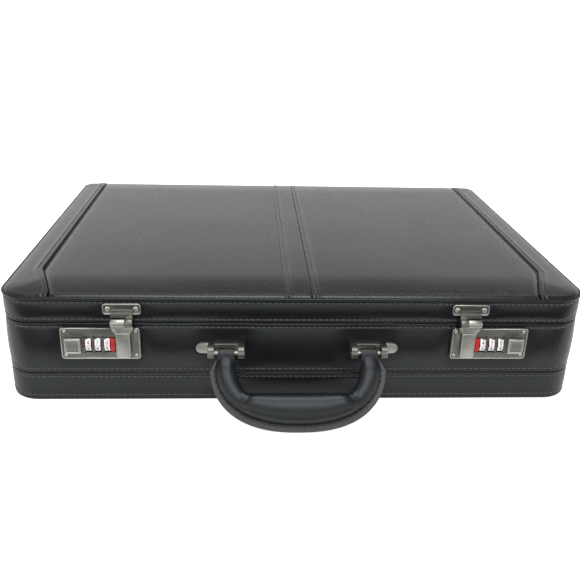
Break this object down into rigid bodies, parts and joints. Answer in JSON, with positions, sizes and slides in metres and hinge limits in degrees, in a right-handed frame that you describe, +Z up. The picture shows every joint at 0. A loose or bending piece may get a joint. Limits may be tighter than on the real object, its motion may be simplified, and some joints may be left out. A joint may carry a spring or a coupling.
{
  "type": "attache briefcase",
  "caption": "Hard-framed leather briefcase with an expanding base, hinged lid on folding stays, combination locks with drop-down hasps, and a padded swing handle.",
  "frame": {"origin": "centre of the flat bottom face of the case, on the surface that it stands on", "axes": "+X to the right when looking at the locks, +Y from the locks to the rear hinges, +Z up"},
  "size_m": [0.4578, 0.3965, 0.0925],
  "materials": {
    "leather_black": "semi-gloss black leather with a fine grain",
    "leather_top": "smooth semi-gloss black leather",
    "board": "bare bent board",
    "lining": "woven dark grey lining",
    "nickel": "satin nickel plate",
    "steel": "plain steel",
    "chrome": "polished chrome",
    "red_plastic": "red moulded plastic"
  },
  "bodies": {
    "base": {"base_bottom_leather": "leather_black", "base_band_leather": "leather_black", "base_tray": "board", "expander_wall": "lining", "base_lining": "lining"},
    "frame": {"frame_board": "board", "frame_leather": "leather_black", "frame_lining": "lining", "lock_plate_left": "nickel", "lock_plate_right": "nickel", "lock_covers": "steel", "dial_axles": "steel", "lock_screws": "nickel", "handle_bracket_left": "nickel", "handle_bracket_right": "nickel", "handle_pins": "chrome", "bracket_washers": "steel", "hinge_leaf_frame_left": "nickel", "hinge_leaf_frame_right": "nickel", "hinge_pins": "nickel", "frame_rivets": "nickel", "stay_brackets_frame": "steel"},
    "lid": {"lid_ring_board": "board", "lid_top_board": "board", "lid_band_leather": "leather_black", "lid_welt": "leather_black", "lid_lining": "lining", "lid_panel_left": "leather_top", "lid_panel_right": "leather_top", "lid_centre_strip": "leather_top", "lid_side_panel_left": "leather_top", "lid_side_panel_right": "leather_top", "lid_pocket": "lining", "hasp_bracket_left": "nickel", "hasp_bracket_right": "nickel", "hasp_pins": "nickel", "hasp_screws": "nickel", "hinge_leaf_lid_left": "nickel", "hinge_leaf_lid_right": "nickel", "lid_rivets": "nickel", "stay_brackets_lid": "steel"},
    "handle": {"handle_core": "steel", "handle_leather": "leather_black", "handle_flange": "leather_black"},
    "hasp_left": {"hasp_left": "nickel"},
    "lock_button_left": {"lock_button_left": "nickel"},
    "reset_slide_left": {"reset_slide_left": "red_plastic"},
    "stay_lower_left": {"stay_lower_left": "steel"},
    "stay_upper_left": {"stay_upper_left": "steel"},
    "dial_left_1": {"dial_left_1": "chrome"},
    "dial_left_2": {"dial_left_2": "chrome"},
    "dial_left_3": {"dial_left_3": "chrome"},
    "hasp_right": {"hasp_right": "nickel"},
    "lock_button_right": {"lock_button_right": "nickel"},
    "reset_slide_right": {"reset_slide_right": "red_plastic"},
    "stay_lower_right": {"stay_lower_right": "steel"},
    "stay_upper_right": {"stay_upper_right": "steel"},
    "dial_right_1": {"dial_right_1": "chrome"},
    "dial_right_2": {"dial_right_2": "chrome"},
    "dial_right_3": {"dial_right_3": "chrome"}
  },
  "joints": [
    {"name": "expand", "type": "slide", "parent": "base", "child": "frame", "axis": [0, 0, 1], "range_m": [0, 0.025]},
    {"name": "lid_hinge", "type": "hinge", "parent": "frame", "child": "lid", "pos_m": [0, 0.173, 0.0679], "axis": [-1, 0, 0], "range_deg": [0, 100]},
    {"name": "handle_swing", "type": "hinge", "parent": "frame", "child": "handle", "pos_m": [0, -0.1785, 0.0465], "axis": [-1, 0, 0], "range_deg": [-35, 127]},
    {"name": "hasp_left_swing", "type": "hinge", "parent": "lid", "child": "hasp_left", "pos_m": [-0.1343, -0.1752, 0.07], "axis": [-1, 0, 0], "range_deg": [0, 110]},
    {"name": "lock_button_left_slide", "type": "slide", "parent": "frame", "child": "lock_button_left", "axis": [-1, 0, 0], "range_m": [0, 0.0015], "stiffness_N_per_m": 250},
    {"name": "reset_left_slide", "type": "slide", "parent": "frame", "child": "reset_slide_left", "axis": [1, 0, 0], "range_m": [0, 0.0004]},
    {"name": "dial_left_1_turn", "type": "hinge", "parent": "frame", "child": "dial_left_1", "pos_m": [-0.1612, -0.1659, 0.0502], "axis": [1, 0, 0], "continuous": true},
    {"name": "dial_left_2_turn", "type": "hinge", "parent": "frame", "child": "dial_left_2", "pos_m": [-0.154, -0.1659, 0.0502], "axis": [1, 0, 0], "continuous": true},
    {"name": "dial_left_3_turn", "type": "hinge", "parent": "frame", "child": "dial_left_3", "pos_m": [-0.1468, -0.1659, 0.0502], "axis": [1, 0, 0], "continuous": true},
    {"name": "stay_lower_left_turn", "type": "hinge", "parent": "frame", "child": "stay_lower_left", "pos_m": [-0.2185, 0.08322, 0.06162], "axis": [-1, 0, 0], "range_deg": [0, 100]},
    {"name": "stay_upper_left_turn", "type": "hinge", "parent": "lid", "child": "stay_upper_left", "pos_m": [-0.217, 0.08322, 0.07418], "axis": [-1, 0, 0], "range_deg": [-100, 0]},
    {"name": "hasp_right_swing", "type": "hinge", "parent": "lid", "child": "hasp_right", "pos_m": [0.1343, -0.1752, 0.07], "axis": [-1, 0, 0], "range_deg": [0, 110]},
    {"name": "lock_button_right_slide", "type": "slide", "parent": "frame", "child": "lock_button_right", "axis": [1, 0, 0], "range_m": [0, 0.0015], "stiffness_N_per_m": 250},
    {"name": "reset_right_slide", "type": "slide", "parent": "frame", "child": "reset_slide_right", "axis": [-1, 0, 0], "range_m": [0, 0.0004]},
    {"name": "dial_right_1_turn", "type": "hinge", "parent": "frame", "child": "dial_right_1", "pos_m": [0.1468, -0.1659, 0.0502], "axis": [1, 0, 0], "continuous": true},
    {"name": "dial_right_2_turn", "type": "hinge", "parent": "frame", "child": "dial_right_2", "pos_m": [0.154, -0.1659, 0.0502], "axis": [1, 0, 0], "continuous": true},
    {"name": "dial_right_3_turn", "type": "hinge", "parent": "frame", "child": "dial_right_3", "pos_m": [0.1612, -0.1659, 0.0502], "axis": [1, 0, 0], "continuous": true},
    {"name": "stay_lower_right_turn", "type": "hinge", "parent": "frame", "child": "stay_lower_right", "pos_m": [0.2185, 0.08322, 0.06162], "axis": [-1, 0, 0], "range_deg": [0, 100]},
    {"name": "stay_upper_right_turn", "type": "hinge", "parent": "lid", "child": "stay_upper_right", "pos_m": [0.217, 0.08322, 0.07418], "axis": [-1, 0, 0], "range_deg": [-100, 0]}
  ],
  "couplings": [
    {"joint": "stay_lower_left_turn", "follows": "lid_hinge", "ratio": 1},
    {"joint": "stay_upper_left_turn", "follows": "lid_hinge", "ratio": -1},
    {"joint": "stay_lower_right_turn", "follows": "lid_hinge", "ratio": 1},
    {"joint": "stay_upper_right_turn", "follows": "lid_hinge", "ratio": -1}
  ]
}
